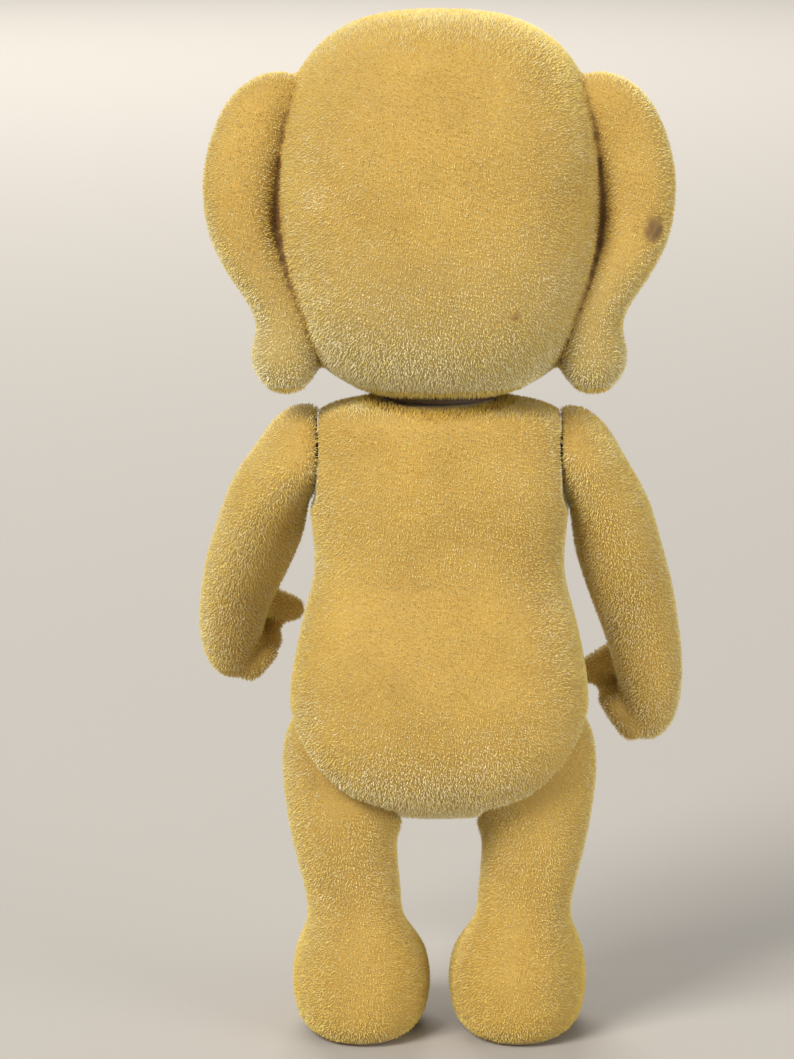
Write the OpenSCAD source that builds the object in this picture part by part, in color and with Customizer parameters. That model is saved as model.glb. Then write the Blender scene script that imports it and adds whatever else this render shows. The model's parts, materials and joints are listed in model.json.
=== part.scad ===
// Flocked toy animal with long drooping ears and a turning head, arms and legs.
// It stands on the floor at z = 0, its face looks along -Y and its left side is +X.
// The hollow torso comes in two halves that trap the pegs of the head and limbs.

/* [Torso] */
// Height of the torso from its underside to the neck
torso_h = 60.4; // [50:0.2:73]
// Width across the hips
hip_w = 42.4; // [38:0.2:50]
// Width at the waist
waist_w = 35.2; // [30:0.2:42]
// Width across the chest
chest_w = 37; // [32:0.2:44]
// Width at the top of the torso
yoke_w = 35; // [30:0.2:42]
// Depth of the seat behind the middle plane
seat_back = 17.5; // [15:0.5:21]
// Depth of the belly in front of the middle plane
belly_front = 16; // [13.5:0.5:19]
// Depth of the chest and back, each side of the middle plane
chest_deep = 12.5; // [10.5:0.5:15]
// Wall thickness of the torso
wall = 2; // [1.6:0.1:2.4]

/* [Head] */
// Width of the head without the ears
head_w = 45.8; // [40:0.2:55]
// Height of the head
head_h = 54.4; // [46:0.2:65]
// Depth of the head behind the neck axis
head_back = 20.5; // [17:0.5:24.5]
// Depth of the face in front of the neck axis
head_front = 19; // [16:0.5:23]
// How far the muzzle stands out of the face
muzzle_out = 8; // [6:0.5:10]
// Width of the muzzle
muzzle_w = 23; // [18:0.5:27]
// Wall thickness of the soft head
head_wall = 2.2; // [1.8:0.1:2.6]

/* [Ears] */
// Height of an ear from its crown to its hanging tip
ear_h = 45; // [40:0.2:48]
// Thickness of an ear across its middle, seen from behind
ear_t = 9.8; // [8:0.1:11.5]
// Depth of the hanging lobe, seen from the side
ear_deep = 14; // [11:0.5:17]

/* [Arms] */
// Length of an arm from its pivot to its fingertips
arm_l = 48.4; // [42:0.2:56]
// Thickness of an arm at the elbow, seen from the front
arm_t = 11.4; // [9.5:0.1:13]
// How far the left arm is swung forward
swing_left = 38; // [20:1:80]
// How far the right arm is swung forward
swing_right = 20; // [20:1:80]

/* [Legs] */
// Height of the hip joint above the floor
hip_z = 42; // [38:0.5:50]
// Tilt of the hip joint's axis below level
hip_tilt = 20; // [16:1:24]
// Radius of the round top of a leg about the hip axis
lobe_r = 9.4; // [7.8:0.1:10.4]
// Width of a foot
foot_w = 19.6; // [17:0.2:22]
// Length of a foot
foot_l = 30.5; // [26:0.5:36]
// Height of the instep
foot_h = 14.5; // [12:0.5:17]
// Gap between the feet
foot_gap = 3.2; // [2.6:0.1:4.4]
// Width of an ankle
ankle_w = 13.2; // [11:0.2:15]

/* [Joints] */
// Radius of a peg's shaft
peg_r = 2.6; // [2.2:0.1:3.2]
// Radial clearance of a peg's shaft in the torso
peg_clear = 0.08; // [0.04:0.01:0.1]
// Gap between a limb and the seat it turns on
limb_gap = 0.3; // [0.2:0.05:0.5]
// Thickness of a peg's flange
flange_t = 1.4; // [1:0.1:1.8]
// Thickness of a friction washer
washer_t = 1; // [0.8:0.1:1.2]
// Length of a peg's plug in its limb
plug_l = 5; // [4:0.5:6]

/* [Face] */
// Radius of an eye
eye_r = 2.7; // [2:0.1:3.2]
// Distance of an eye from the middle plane
eye_x = 8.2; // [7:0.1:9.5]
// Half width of the nose
nose_r = 3.6; // [3:0.1:4.2]

/* [Hidden] */

TAN = [0.83, 0.68, 0.38];
NYLON = [0.42, 0.31, 0.17];
FELT = [0.35, 0.30, 0.26];
DARK = [0.04, 0.03, 0.025];

SEG = 44;        // points round a body, head or leg
SEG_SMALL = 26;  // points round an arm or ear
FAR = 90;        // longer than anything that is cut
eps = 0.01;

// The left hand reaches furthest forward and the head furthest back
hand_round = 6;
hand_lean = 0.65;                  // how much further the swung fingertips reach
reach = (arm_l - hand_round) * sin(swing_left) + hand_round + hand_lean;
origin_y = (reach - head_back) / 2;

// Torso levels
seat_drop = 8.6;                   // how far the torso hangs below the hip joints
torso_z = hip_z - seat_drop;
torso_top = torso_z + torso_h;
seat_round = 17;                   // height of the rounded underside
yoke_round = 3.6;                  // height of the rounded shoulders
plan_n = 2.6;                      // squareness of the body's level sections
round_n = 2.6;                     // squareness of its rounded ends

// Neck: a collar fills the gap between torso and head
collar_gap = 0.35;
collar_h = 0.7;
collar_r = 8.4;
plug_step = 1.2;                    // how much the plug's shank is smaller than the collar
head_z = torso_top + collar_gap + collar_h;   // flat underside of the head
neck_boss_r = 7.5;
neck_boss_t = 3.4;

// Head: its level sections and its upright outline are both squared ellipses
head_n = 2.8;
head_plan_n = 2.3;
head_mid = head_z - 0.5 + head_h / 2;
muzzle_z = head_mid - 0.24 * head_h;
muzzle_h = 0.72 * muzzle_w;
eye_z = head_mid + 0.02 * head_h;
nose_z = muzzle_z + 0.16 * muzzle_h;

// Shoulders
arm_top = 6;                        // how far an arm rises above its pivot
shoulder_drop = 7.6;                // how far the pivot is below the torso's top
shoulder_z = torso_top - shoulder_drop;
seat_r = 5.8;                       // flat seat round the shoulder's bore
arm_room_r = arm_top + 2.1;         // flat that the top of a swinging arm passes over
shoulder_x = yoke_w / 2 - 0.3;      // plane of that seat and flat
shoulder_boss_t = 4;
arm_x = shoulder_x + limb_gap;      // flat face of the arm

// Hips: each joint sits on a flat that leans in towards the crotch
hip_x = 8.9;
pocket_r = lobe_r + 0.45;
thigh_deep = lobe_r - 0.4;
thigh_out = hip_w / 2 + 1.2;

// Pegs
bore_r = peg_r + peg_clear;
flange_r = peg_r + 1.9;
plug_r = peg_r + 0.7;
press = 0.04;                       // how much a plug is larger than its socket
slack = 0.1;                        // axial play beside a washer

function sgn_pow(v, p) = sign(v) * pow(abs(v), p);

// One squared-ellipse ring; the front and the back of it have their own depths
// row = [z, x centre, half width, y centre, front depth, back depth]
function ring(row, n, seg) = [
    for (i = [0 : seg - 1])
        let (t = 360 * i / seg, s = sin(t))
            [row[1] + row[2] * sgn_pow(cos(t), 2 / n),
             row[3] + (s < 0 ? row[4] : row[5]) * sgn_pow(s, 2 / n),
             row[0]]
];

// Levels up a closed body and how wide it is there, as a share of its full section.
// A rounded end of no height leaves that end flat.
function levels(z0, z1, h0, h1, n, ends, mids) = concat(
    h0 > 0 ? [for (i = [0 : ends - 1]) let (a = 4 + 86 * i / ends)
        [z0 + h0 - h0 * pow(cos(a), 2 / n), pow(sin(a), 2 / n)]] : [],
    [for (i = [0 : mids]) [z0 + h0 + (z1 - h1 - z0 - h0) * i / mids, 1]],
    h1 > 0 ? [for (i = [ends - 1 : -1 : 0]) let (a = 4 + 86 * i / ends)
        [z1 - h1 + h1 * pow(cos(a), 2 / n), pow(sin(a), 2 / n)]] : []
);

// Smooth curve through rows of measures sorted by their first value
function slope(rows, i) =
    let (a = max(i - 1, 0), b = min(i + 1, len(rows) - 1))
        (rows[b] - rows[a]) / (rows[b][0] - rows[a][0]);
function span(rows, z, i = 0) =
    i >= len(rows) - 2 || z < rows[i + 1][0] ? i : span(rows, z, i + 1);
function along(rows, z) =
    let (i = span(rows, z), h = rows[i + 1][0] - rows[i][0],
         u = min(max((z - rows[i][0]) / h, 0), 1), v = 1 - u)
        rows[i] * (1 + 2 * u) * v * v + rows[i + 1] * (1 + 2 * v) * u * u
        + slope(rows, i) * h * u * v * v - slope(rows, i + 1) * h * u * u * v;

// Closed solid over a stack of rings with equal point counts
module skin(rings) {
    n = len(rings[0]);
    top = (len(rings) - 1) * n;
    polyhedron(
        points = [for (r = rings) each r],
        faces = concat(
            [[for (i = [0 : n - 1]) i]],
            [for (k = [0 : len(rings) - 2], i = [0 : n - 1])
                let (a = k * n + i, b = k * n + (i + 1) % n) each [[a, a + n, b + n], [a, b + n, b]]],
            [[for (i = [n - 1 : -1 : 0]) top + i]]
        )
    );
}

// Every piece is drawn round the neck's axis, then moved so that the origin is mid-depth
module made(shade) {
    color(shade) translate([0, origin_y, 0]) children();
}

module half(side) {
    translate([-FAR, side > 0 ? 0 : -FAR, -FAR]) cube([2 * FAR, FAR, 3 * FAR]);
}

module on_side(side) {
    mirror([side < 0 ? 1 : 0, 0, 0]) children();
}

// ---- Torso ----

// [height, half width, front depth, back depth]
torso_rows = [
    [torso_z, hip_w * 0.49, belly_front * 0.86, seat_back * 0.96],
    [torso_z + torso_h * 0.29, hip_w / 2, belly_front * 0.95, seat_back],
    [torso_z + torso_h * 0.45, (hip_w + waist_w) / 4 + 0.2, belly_front, (seat_back + chest_deep) / 2],
    [torso_z + torso_h * 0.59, waist_w / 2, belly_front * 0.96, chest_deep * 0.98],
    [torso_z + torso_h * 0.80, chest_w / 2, chest_deep, chest_deep],
    [torso_top, yoke_w / 2, chest_deep * 0.9, chest_deep * 0.92]
];

module torso_form(inset) {
    skin([for (s = levels(torso_z + inset, torso_top - inset, seat_round - inset, yoke_round - inset,
                          round_n, 8, 13))
        let (r = along(torso_rows, s[0]), k = s[1])
            ring([s[0], 0, (r[1] - inset) * k, 0, (r[2] - inset) * k, (r[3] - inset) * k], plan_n, SEG)]);
}

// Places what is drawn along +Z onto the left hip axis; its +X then points down the flat
module at_hip() {
    translate([hip_x, 0, hip_z]) rotate([0, 90 + hip_tilt, 0]) children();
}

module at_shoulder() {
    translate([shoulder_x, 0, shoulder_z]) rotate([0, 90, 0]) children();
}

// Thick wall behind the shoulder's seat
module shoulder_boss(r, t) {
    at_shoulder() translate([0, 0, -t]) cylinder(r = r, h = t, $fn = 64);
}

// Room inside the shoulder for a peg's flange and its washer
module flange_room() {
    deep = shoulder_boss_t + washer_t + flange_t + 3 * slack;
    at_shoulder() translate([0, 0, -deep])
        cylinder(r = flange_r + 0.25, h = deep - shoulder_boss_t, $fn = 64);
}

// Room that a leg needs to hang down and to swing forward
module hip_room(extra) {
    r = pocket_r + extra;
    at_hip() translate([0, 0, -extra]) {
        cylinder(r = r, h = FAR, $fn = 64);
        translate([-r, -FAR, 0]) cube([FAR, FAR, FAR]);
        translate([0, -eps, 0]) cube([FAR, r + eps, FAR]);
    }
}

module torso_shell() {
    difference() {
        union() {
            difference() {
                torso_form(0);
                for (side = [-1, 1]) on_side(side) hip_room(0);
                difference() {
                    torso_form(wall);
                    for (side = [-1, 1]) on_side(side) {
                        hip_room(wall);
                        shoulder_boss(arm_room_r + wall / 2, shoulder_boss_t);
                    }
                }
            }
            for (side = [-1, 1]) on_side(side) shoulder_boss(seat_r, shoulder_boss_t - 1);
            translate([0, 0, torso_top - neck_boss_t - slack])
                cylinder(r = neck_boss_r, h = neck_boss_t, $fn = 64);
        }
        for (side = [-1, 1]) on_side(side) {
            at_shoulder() translate([0, 0, -8]) cylinder(r = bore_r, h = 20, $fn = 64);
            at_shoulder() cylinder(r = arm_room_r, h = 20, $fn = 64);
            flange_room();
            at_hip() translate([0, 0, -wall - 1]) cylinder(r = bore_r, h = 10, $fn = 64);
        }
        translate([0, 0, torso_top - 8]) cylinder(r = bore_r, h = 20, $fn = 64);
    }
}

module torso_front() made(TAN) intersection() { torso_shell(); half(-1); }
module torso_back() made(TAN) intersection() { torso_shell(); half(1); }

// ---- Head ----

// Height of the muzzle above the face
function bump(x, z) =
    muzzle_out * exp(-pow(pow(2 * x / muzzle_w, 2) + pow(2 * (z - muzzle_z) / muzzle_h, 2), 1.6));

// Share of the full section that is left at height z
function head_share(z) = pow(1 - pow(abs(z - head_mid) / (head_h / 2), head_n), 1 / head_n);

// Where the face's surface is, in front of the neck axis
function face_y(x, z) =
    let (k = head_share(z))
        -head_front * k * pow(1 - pow(abs(x) / (head_w / 2 * k), head_plan_n), 1 / head_plan_n)
        - bump(x, z);

module head_form(inset, seg, ends) {
    skin([for (s = levels(head_mid - head_h / 2 + inset, head_mid + head_h / 2 - inset,
                          head_h / 2 - inset, head_h / 2 - inset, head_n, ends, 1))
        let (k = s[1])
            [for (p = ring([s[0], 0, (head_w / 2 - inset) * k, 0,
                            (head_front - inset) * k, (head_back - inset) * k], head_plan_n, seg))
                p[1] < 0 ? p - [0, bump(p[0], p[2]), 0] : p]]);
}

// The eyes and the nose sit on flats cut into the face
eye_turn = 16;                      // how far an eye looks away from straight ahead
eye_y = face_y(eye_x, eye_z);
nose_y = face_y(0, nose_z);
stem_r = 1;
stem_l = head_wall + 2.6;
eye_sink = 0.8;                     // depth of an eye's flat below the face
nose_sink = 1;
eye_washer_drop = 1.1;              // space between the wall's inside and a washer
nose_washer_drop = 2.5;
seat_gap = 0.1;

module at_eye(side) {
    on_side(side) translate([eye_x, eye_y, eye_z]) rotate([90, 0, eye_turn]) children();
}

module at_nose() {
    translate([0, nose_y, nose_z]) rotate([90, 0, 0]) children();
}

// Ear plug that holds the ear in the head's side
ear_top = head_mid + 0.345 * head_h;
ear_plug_z = ear_top - 8;
ear_plug_r = 2.2;
ear_plug_l = 8;
ear_plug_in = 3.4;                  // how far the plug stands into the hollow head
ear_y = 2;

module ear_plug(extra) {
    x0 = head_w / 2 - head_wall - ear_plug_in;
    translate([x0, ear_y, ear_plug_z]) rotate([0, 90, 0])
        cylinder(r = ear_plug_r + extra, h = ear_plug_l, $fn = 48);
}

module head() made(TAN) difference() {
    head_form(0, SEG, 14);
    head_form(head_wall, SEG_SMALL, 8);
    translate([-FAR, -FAR, head_z - FAR]) cube([2 * FAR, 2 * FAR, FAR]);
    translate([0, 0, head_z - 1]) cylinder(r = collar_r - plug_step, h = 8, $fn = 64);
    for (side = [-1, 1]) {
        at_eye(side) translate([0, 0, -6]) cylinder(r = stem_r, h = 12, $fn = 32);
        at_eye(side) translate([0, 0, -eye_sink]) cylinder(r = eye_r + seat_gap, h = 12, $fn = 48);
        on_side(side) ear_plug(0);
    }
    at_nose() translate([0, 0, -8]) cylinder(r = stem_r, h = 14, $fn = 32);
    at_nose() translate([0, 0, -nose_sink]) cylinder(r = nose_r + seat_gap, h = 12, $fn = 48);
}

// ---- Ears ----

// [drop below the crown, inner x, outer x, half depth], x measured from the head's side
ear_rows = [
    [0, -5.2, 4.4, 4.6],
    [7, -2.6, 8.3, 5.2],
    [13.5, -0.6, -0.5 + ear_t * 1.08, 5.8],
    [18, 0.1, 0.4 + ear_t, 6.2],
    [23, -0.1, -0.1 + ear_t * 0.97, ear_deep * 0.47],
    [28, -2.4, -2.4 + ear_t * 0.97, ear_deep * 0.5],
    [33, -5.2, -5.2 + ear_t * 0.92, ear_deep / 2],
    [36, -6.0, -6.0 + ear_t * 0.89, ear_deep * 0.49],
    [40.5, -6.0, -6.0 + ear_t * 0.98, ear_deep * 0.47],
    [45.6, -5.5, -5.5 + ear_t * 0.88, ear_deep * 0.42]
];
ear_tip = ear_rows[len(ear_rows) - 1][0];

module ear_form() {
    skin([for (s = levels(ear_top - ear_h, ear_top, 5.6, 5, 2.2, 6, 18))
        let (r = along(ear_rows, (ear_top - s[0]) * ear_tip / ear_h), k = s[1])
            ring([s[0], head_w / 2 + (r[1] + r[2]) / 2, (r[2] - r[1]) / 2 * k,
                  ear_y + 0.05 * (ear_top - s[0]), r[3] * k, r[3] * k], 2.2, SEG_SMALL)]);
}

module ear(side) made(TAN) on_side(side) {
    difference() {
        ear_form();
        head_form(0, SEG, 14);
    }
    difference() {
        ear_plug(press);
        translate([head_w / 2 + 1, -FAR / 2, 0]) cube([FAR, FAR, 3 * FAR]);
    }
}
module ear_left() ear(1);
module ear_right() ear(-1);

// ---- Eyes and nose: domes on stems, each held by a push-on washer ----

// Drawn along +Z from the floor of its seat: a short rim, a dome on it and a stem behind
module button(r, rim, h) {
    rotate_extrude($fn = 48) polygon(concat(
        [[0, -stem_l], [stem_r - 0.02, -stem_l], [stem_r - 0.02, 0], [r, 0]],
        [for (a = [0 : 10 : 90]) [r * cos(a), rim + h * sin(a)]]
    ));
}

// A washer pushed onto a stem, behind the head's wall
module push_washer(drop) {
    push_washer_t = 0.8;
    translate([0, 0, -head_wall - drop - push_washer_t]) difference() {
        cylinder(r = 3, h = push_washer_t, $fn = 40);
        translate([0, 0, -1]) cylinder(r = stem_r, h = 3, $fn = 32);
    }
}

module eye(side) made(DARK) at_eye(side) translate([0, 0, -eye_sink])
    button(eye_r, eye_sink, eye_r * 0.6);
module eye_left() eye(1);
module eye_right() eye(-1);
module eye_washers() made(NYLON) for (side = [-1, 1]) at_eye(side) push_washer(eye_washer_drop);
module nose() made(DARK) at_nose() translate([0, 0, -nose_sink])
    button(nose_r, nose_sink, nose_r * 0.6);
module nose_washer() made(NYLON) at_nose() push_washer(nose_washer_drop);

// ---- Neck ----

module neck_plug() made(NYLON) translate([0, 0, torso_top]) {
    drop = neck_boss_t + washer_t + 2 * slack;
    shank_z = collar_gap + collar_h;
    lip_z = shank_z + head_wall + 0.4;
    translate([0, 0, collar_gap]) cylinder(r = collar_r, h = collar_h, $fn = 64);
    translate([0, 0, shank_z - eps])
        cylinder(r = collar_r - plug_step + press, h = lip_z - shank_z + 0.2, $fn = 64);
    translate([0, 0, lip_z]) cylinder(r = collar_r + 0.6, h = 1.4, $fn = 64);
    translate([0, 0, -drop - flange_t]) cylinder(r = peg_r, h = drop + flange_t + 1, $fn = 48);
    translate([0, 0, -drop - flange_t]) cylinder(r = flange_r, h = flange_t, $fn = 48);
}

// A felt washer that sits on the inner end of a bore
module friction_washer() {
    difference() {
        cylinder(r = flange_r, h = washer_t, $fn = 48);
        translate([0, 0, -1]) cylinder(r = bore_r, h = washer_t + 2, $fn = 48);
    }
}

module neck_washer() made(FELT)
    translate([0, 0, torso_top - neck_boss_t - slack - washer_t]) friction_washer();

// ---- Pegs ----

// Drawn along +Z from the limb's seat at z = 0: flange inside the torso, plug in the limb
module peg(wall_t) {
    under = wall_t + washer_t + slack;
    translate([0, 0, -under - flange_t]) cylinder(r = flange_r, h = flange_t, $fn = 48);
    translate([0, 0, -under - flange_t]) cylinder(r = peg_r, h = under + flange_t + limb_gap + 1, $fn = 48);
    translate([0, 0, limb_gap]) cylinder(r = plug_r, h = plug_l, $fn = 48);
}

module socket() {
    translate([0, 0, limb_gap - 1]) cylinder(r = plug_r - press, h = plug_l + 1.2, $fn = 48);
}

module swing(angle) {
    translate([0, 0, shoulder_z]) rotate([-angle, 0, 0]) translate([0, 0, -shoulder_z]) children();
}

module shoulder_peg_left() made(NYLON) at_shoulder() peg(shoulder_boss_t);
module shoulder_peg_right() made(NYLON) on_side(-1) at_shoulder() peg(shoulder_boss_t);
module shoulder_washers() made(FELT) for (side = [-1, 1]) on_side(side)
    at_shoulder() translate([0, 0, -shoulder_boss_t - washer_t]) friction_washer();

module hip_peg_left() made(NYLON) at_hip() peg(wall);
module hip_peg_right() made(NYLON) on_side(-1) at_hip() peg(wall);
module hip_washers() made(FELT) for (side = [-1, 1]) on_side(side)
    at_hip() translate([0, 0, -wall - washer_t]) friction_washer();

// ---- Arms ----

// [drop below the pivot, inner x, outer x, y centre, half depth], x from the arm's flat face
arm_rows = [
    [-arm_top, -2, 4.8, 0, 6.6],
    [-3, -2.3, 6.5, 0, 6.8],
    [2, -1, 8.9, 0, 6.6],
    [8.5, 1.2, 12.3, -0.1, 6.4],
    [16, 2.2, 2.9 + arm_t * 1.01, -0.3, 6.0],
    [23.4, 4.3, 4.8 + arm_t, -0.5, 5.5],
    [31, 6.8, 6.8 + arm_t * 0.92, -0.8, 5.1],
    [38, 8.6, 8.6 + arm_t * 0.81, -1.0, 5.4],
    [43, 9.3, 9.3 + arm_t * 0.71, -1.0, 5.2],
    [48.4, 9.6, 9.6 + arm_t * 0.58, -1.0, 4.8]
];
arm_scale = arm_l / arm_rows[len(arm_rows) - 1][0];

// A round-ended finger between two points [x from the arm's flat face, y, drop]
module finger(a, b, r0, r1) {
    hull() {
        translate([arm_x + a[0], a[1], shoulder_z - a[2] * arm_scale]) sphere(r = r0, $fn = 18);
        translate([arm_x + b[0], b[1], shoulder_z - b[2] * arm_scale]) sphere(r = r1, $fn = 18);
    }
}

module arm_form() {
    skin([for (s = levels(shoulder_z - arm_l, shoulder_z + arm_top, 6, 6.4, 2.2, 6, 14))
        let (r = along(arm_rows, (shoulder_z - s[0]) / arm_scale), k = s[1])
            ring([s[0], arm_x + (r[1] + r[2]) / 2, (r[2] - r[1]) / 2 * k,
                  r[3], r[4] * k, r[4] * k], 2.2, SEG_SMALL)]);
    finger([10.2, -3.2, 35.2], [4.4, -4.8, 39.8], 2.4, 1.9);
    finger([10.2, -4.2, 45.2], [7.2, -3.8, 41.2], 1.9, 1.7);
    finger([10.4, -0.9, 46.0], [7.4, -0.7, 42.0], 1.9, 1.7);
    finger([10.6, 2.3, 45.4], [8.0, 2.1, 41.8], 1.8, 1.6);
}

module arm(side, angle) made(TAN) on_side(side) swing(angle) difference() {
    arm_form();
    translate([arm_x - FAR, -FAR, shoulder_z - 12]) cube([FAR, 2 * FAR, FAR]);
    at_shoulder() socket();
}
module arm_left() arm(1, swing_left);
module arm_right() arm(-1, swing_right);

// ---- Legs ----

foot_x = (foot_gap + foot_w) / 2;
heel = 9;
toe = foot_l - heel;
ankle_z = foot_h + 6.5;
ankle_x = foot_x + 1;
// [height, x centre, half width, y centre, front edge, back edge]
leg_rows = [
    [0, foot_x, foot_w * 0.36, -toe * 0.34, toe - 3.2, heel - 3],
    [1.5, foot_x, foot_w * 0.44, -toe * 0.35, toe - 1.2, heel - 1.1],
    [foot_h * 0.28, foot_x, foot_w * 0.485, -toe * 0.36, toe - 0.2, heel - 0.2],
    [foot_h * 0.5, foot_x, foot_w / 2, -toe * 0.36, toe, heel],
    [foot_h * 0.75, foot_x + 0.1, foot_w * 0.475, -toe * 0.32, toe * 0.92, heel * 0.98],
    [foot_h * 0.98, foot_x + 0.4, foot_w * 0.41, -toe * 0.18, toe * 0.7, heel * 0.92],
    [foot_h * 1.2, ankle_x - 0.3, ankle_w * 0.51, -0.6, toe * 0.45, heel * 0.86],
    [ankle_z, ankle_x, ankle_w / 2, 0, 7.5, heel * 0.82],
    [hip_z - 11, foot_x + 2.3, thigh_out - foot_x - 3.4, 0, thigh_deep * 0.95, thigh_deep * 0.95],
    [hip_z - 1, hip_x + 3.2, thigh_out - hip_x - 3.2, 0, thigh_deep, thigh_deep],
    [hip_z + lobe_r, hip_x + 4.6, thigh_out - hip_x - 6, 0, thigh_deep, thigh_deep]
];

module leg_form() {
    skin([for (s = levels(0, hip_z + lobe_r + 0.2, 0, 8.5, 2.2, 7, 20))
        let (r = along(leg_rows, s[0]), k = s[1])
            ring([s[0], r[1], r[2] * k, r[3], (r[4] + r[3]) * k, (r[5] - r[3]) * k], 2.15, SEG)]);
}

// The part of a leg that may turn beside the torso: round about the hip axis, straight below it
module lobe_limit() {
    at_hip() translate([0, 0, limb_gap]) {
        cylinder(r = lobe_r, h = FAR, $fn = 64);
        translate([0, -FAR / 2, 0]) cube([FAR, FAR, FAR]);
    }
}

module leg(side) made(TAN) on_side(side) difference() {
    intersection() {
        leg_form();
        lobe_limit();
    }
    at_hip() socket();
}
module leg_left() leg(1);
module leg_right() leg(-1);

torso_front();
torso_back();
head();
ear_left();
ear_right();
eye_left();
eye_right();
eye_washers();
nose();
nose_washer();
neck_plug();
neck_washer();
arm_left();
arm_right();
shoulder_peg_left();
shoulder_peg_right();
shoulder_washers();
leg_left();
leg_right();
hip_peg_left();
hip_peg_right();
hip_washers();
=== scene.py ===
# %% [markdown]
# # A flocked, jointed toy animal with long drooping ears
#
# The real toy is a hollow plastic body with a soft vinyl head, covered all over with
# flock: short nylon fibres shot onto wet glue by static electricity. The CAD frame
# already holds every solid, the joints and the fits. This script gives each moulding
# a smooth skin, plants a real pile of fibres on it, and finishes the small hard parts.
#
# Loading the frame comes first, because every size and place below is read from it.

# %% Load the frame
import json
import math

import bmesh
import bpy
import numpy as np
from mathutils import Matrix, Vector, noise


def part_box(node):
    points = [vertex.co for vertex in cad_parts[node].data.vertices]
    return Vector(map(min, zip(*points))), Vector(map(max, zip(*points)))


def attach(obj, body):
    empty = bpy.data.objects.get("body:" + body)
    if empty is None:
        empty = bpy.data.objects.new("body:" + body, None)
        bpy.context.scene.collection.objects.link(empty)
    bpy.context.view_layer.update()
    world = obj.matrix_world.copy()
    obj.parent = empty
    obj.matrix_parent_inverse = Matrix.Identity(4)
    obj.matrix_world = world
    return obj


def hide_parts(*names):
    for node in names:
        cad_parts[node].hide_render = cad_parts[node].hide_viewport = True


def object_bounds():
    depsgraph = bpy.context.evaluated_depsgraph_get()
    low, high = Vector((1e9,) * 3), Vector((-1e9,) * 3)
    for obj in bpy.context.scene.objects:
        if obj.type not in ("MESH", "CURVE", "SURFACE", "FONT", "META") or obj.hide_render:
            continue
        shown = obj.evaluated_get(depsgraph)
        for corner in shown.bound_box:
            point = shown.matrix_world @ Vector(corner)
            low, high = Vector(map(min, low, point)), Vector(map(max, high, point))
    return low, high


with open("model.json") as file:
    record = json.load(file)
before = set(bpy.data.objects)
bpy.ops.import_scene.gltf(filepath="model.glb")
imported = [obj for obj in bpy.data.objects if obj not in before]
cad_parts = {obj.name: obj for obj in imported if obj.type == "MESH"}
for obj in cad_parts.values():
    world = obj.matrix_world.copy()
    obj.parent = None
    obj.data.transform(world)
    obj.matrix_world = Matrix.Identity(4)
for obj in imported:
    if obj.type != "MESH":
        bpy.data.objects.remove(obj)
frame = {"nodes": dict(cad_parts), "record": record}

MM = 0.001
cad_low, cad_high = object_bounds()
print("CAD box in mm:", [round(1000 * v, 1) for v in cad_high - cad_low])

# %% [markdown]
# ## Where the joints are
#
# The skins leave the joint faces bare, as a flocker masks them, so the fibres don't
# rub there. Each limb turns on a peg. Its centre and its outward direction come from
# the frame's joints: an axis is turned round where it points at the body's middle.

# %% Joint centres and outward directions
joints = {j["name"]: j for j in frame["record"]["behaviour"]["joints"]}
limb_joints = {}
for name, joint in joints.items():
    centre, axis = Vector(joint["pos_m"]), Vector(joint["axis"])
    if name != "neck":
        limb_joints[name] = (centre, axis if axis.x * centre.x > 0 else -axis)
neck_centre = Vector(joints["neck"]["pos_m"])
for name, (centre, out) in limb_joints.items():
    print(name, "looks along", [round(v, 2) for v in out])

# %% [markdown]
# ## Small helpers for colours and shaders
#
# Colours are written as the sRGB hex values a designer would use, and one function
# turns them into the linear values that Blender's sockets hold. One more function adds
# a shader node, sets its sockets and links it, so that each material reads like a recipe.

# %% A colour helper
def linear(hex_colour):
    """An sRGB hex colour such as "CCA953" as linear red, green, blue and alpha."""
    values = [int(hex_colour[i:i + 2], 16) / 255 for i in (0, 2, 4)]
    return tuple(v / 12.92 if v <= 0.04045 else ((v + 0.055) / 1.055) ** 2.4 for v in values) + (1.0,)


print("half grey is", round(linear("808080")[0], 3), "in linear light")

# %% Node helpers
def add_node(tree, kind, settings=None, **sockets):
    """Adds a node. Sockets take a value or another node's output socket."""
    node = tree.nodes.new(kind)
    for key, value in (settings or {}).items():
        setattr(node, key, value)
    for key, value in sockets.items():
        wanted = int(key[1:]) if key[0] == "n" and key[1:].isdigit() else key.replace("_", " ")
        socket = node.inputs[wanted]
        if isinstance(value, bpy.types.NodeSocket):
            tree.links.new(value, socket)
        else:
            socket.default_value = value
    return node


def new_material(name):
    """An empty material with its output node, and its shader tree."""
    made = bpy.data.materials.new(name)
    made.use_nodes = True
    made.node_tree.nodes.clear()
    return made, made.node_tree


def finish_material(tree, shader):
    """Links a shader node to a new output node."""
    out = tree.nodes.new("ShaderNodeOutputMaterial")
    tree.links.new(shader.outputs[0], out.inputs["Surface"])


def ramp(tree, factor, stops):
    """A colour ramp over (position, hex colour) stops."""
    node = add_node(tree, "ShaderNodeValToRGB", Fac=factor)
    elements = node.color_ramp.elements
    while len(elements) < len(stops):
        elements.new(0.5)
    for element, (place, colour) in zip(elements, stops):
        element.position = place
        element.color = linear(colour)
    return node.outputs["Color"]


# %% [markdown]
# ## The camera, the lights and the floor
#
# The toy is looked at from behind and ten degrees above level, with a long lens that
# keeps the limbs nearly parallel. The framing numbers say how far off the camera stands
# and how much the frame takes in, both as multiples of the toy's height. Three large
# softboxes and a pale sky stand in for a small studio tent, and the floor curves up all
# round like a paper sweep, so that no horizon shows.

# %% Camera
toy_height = cad_high.z - cad_low.z
aim = Vector((0, (cad_low.y + cad_high.y) / 2, 0.5 * toy_height))
camera_distance = 5.4 * toy_height
camera_rise = math.radians(10)
frame_height = 1.027 * toy_height          # how much of the world the frame's height takes in

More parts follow.
